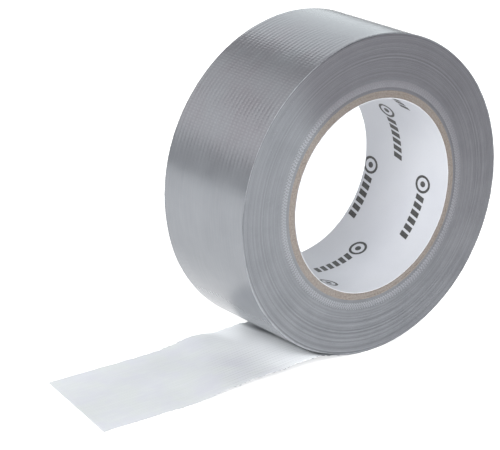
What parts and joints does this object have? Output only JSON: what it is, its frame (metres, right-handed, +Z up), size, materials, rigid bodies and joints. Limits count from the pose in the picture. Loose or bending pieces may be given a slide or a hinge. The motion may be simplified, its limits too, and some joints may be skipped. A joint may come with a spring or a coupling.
{
  "type": "duct tape roll",
  "caption": "Roll of silver cloth tape wound on a cardboard core, with a loose tail lying adhesive side up and a free end that lifts.",
  "frame": {"origin": "centre of the core's bore, halfway across the tape's width", "axes": "+Y along the bore's axis; +Z up with the roll standing on its tread; the tail lies along -X"},
  "size_m": [0.1873, 0.048, 0.126],
  "materials": {
    "liner_paper": "smooth white printed paper",
    "kraft_board": "matte cut board",
    "starter_edges": "matte cut tape edges",
    "pale_edges": "stippled cut tape edges",
    "tape_edges": "satin cut tape edges",
    "film": "satin silver grey film over cloth",
    "scrim": "woven cloth",
    "adhesive": "soft sheen"
  },
  "bodies": {
    "strip": {"outer_turn_film": "film", "outer_turn_scrim": "scrim", "outer_turn_adhesive": "adhesive", "tail_film": "film", "tail_warp_yarns": "scrim", "tail_weft_yarns": "scrim", "tail_adhesive": "adhesive"},
    "roll": {"liner_paper": "liner_paper", "core_ply_1": "kraft_board", "core_ply_2": "kraft_board", "core_ply_3": "kraft_board", "core_ply_4": "kraft_board", "starter_turns": "starter_edges", "pale_turns": "pale_edges", "main_turns": "tape_edges"},
    "free_end": {"end_film": "film", "end_warp_yarns": "scrim", "end_weft_yarns": "scrim", "end_adhesive": "adhesive"}
  },
  "joints": [
    {"name": "unwind", "type": "hinge", "parent": "strip", "child": "roll", "pos_m": [0, 0, 0], "axis": [0, 1, 0], "continuous": true},
    {"name": "tail_lift", "type": "hinge", "parent": "strip", "child": "free_end", "pos_m": [-0.07482, 0, -0.06272], "axis": [0, 1, 0], "range_deg": [0, 75]}
  ]
}
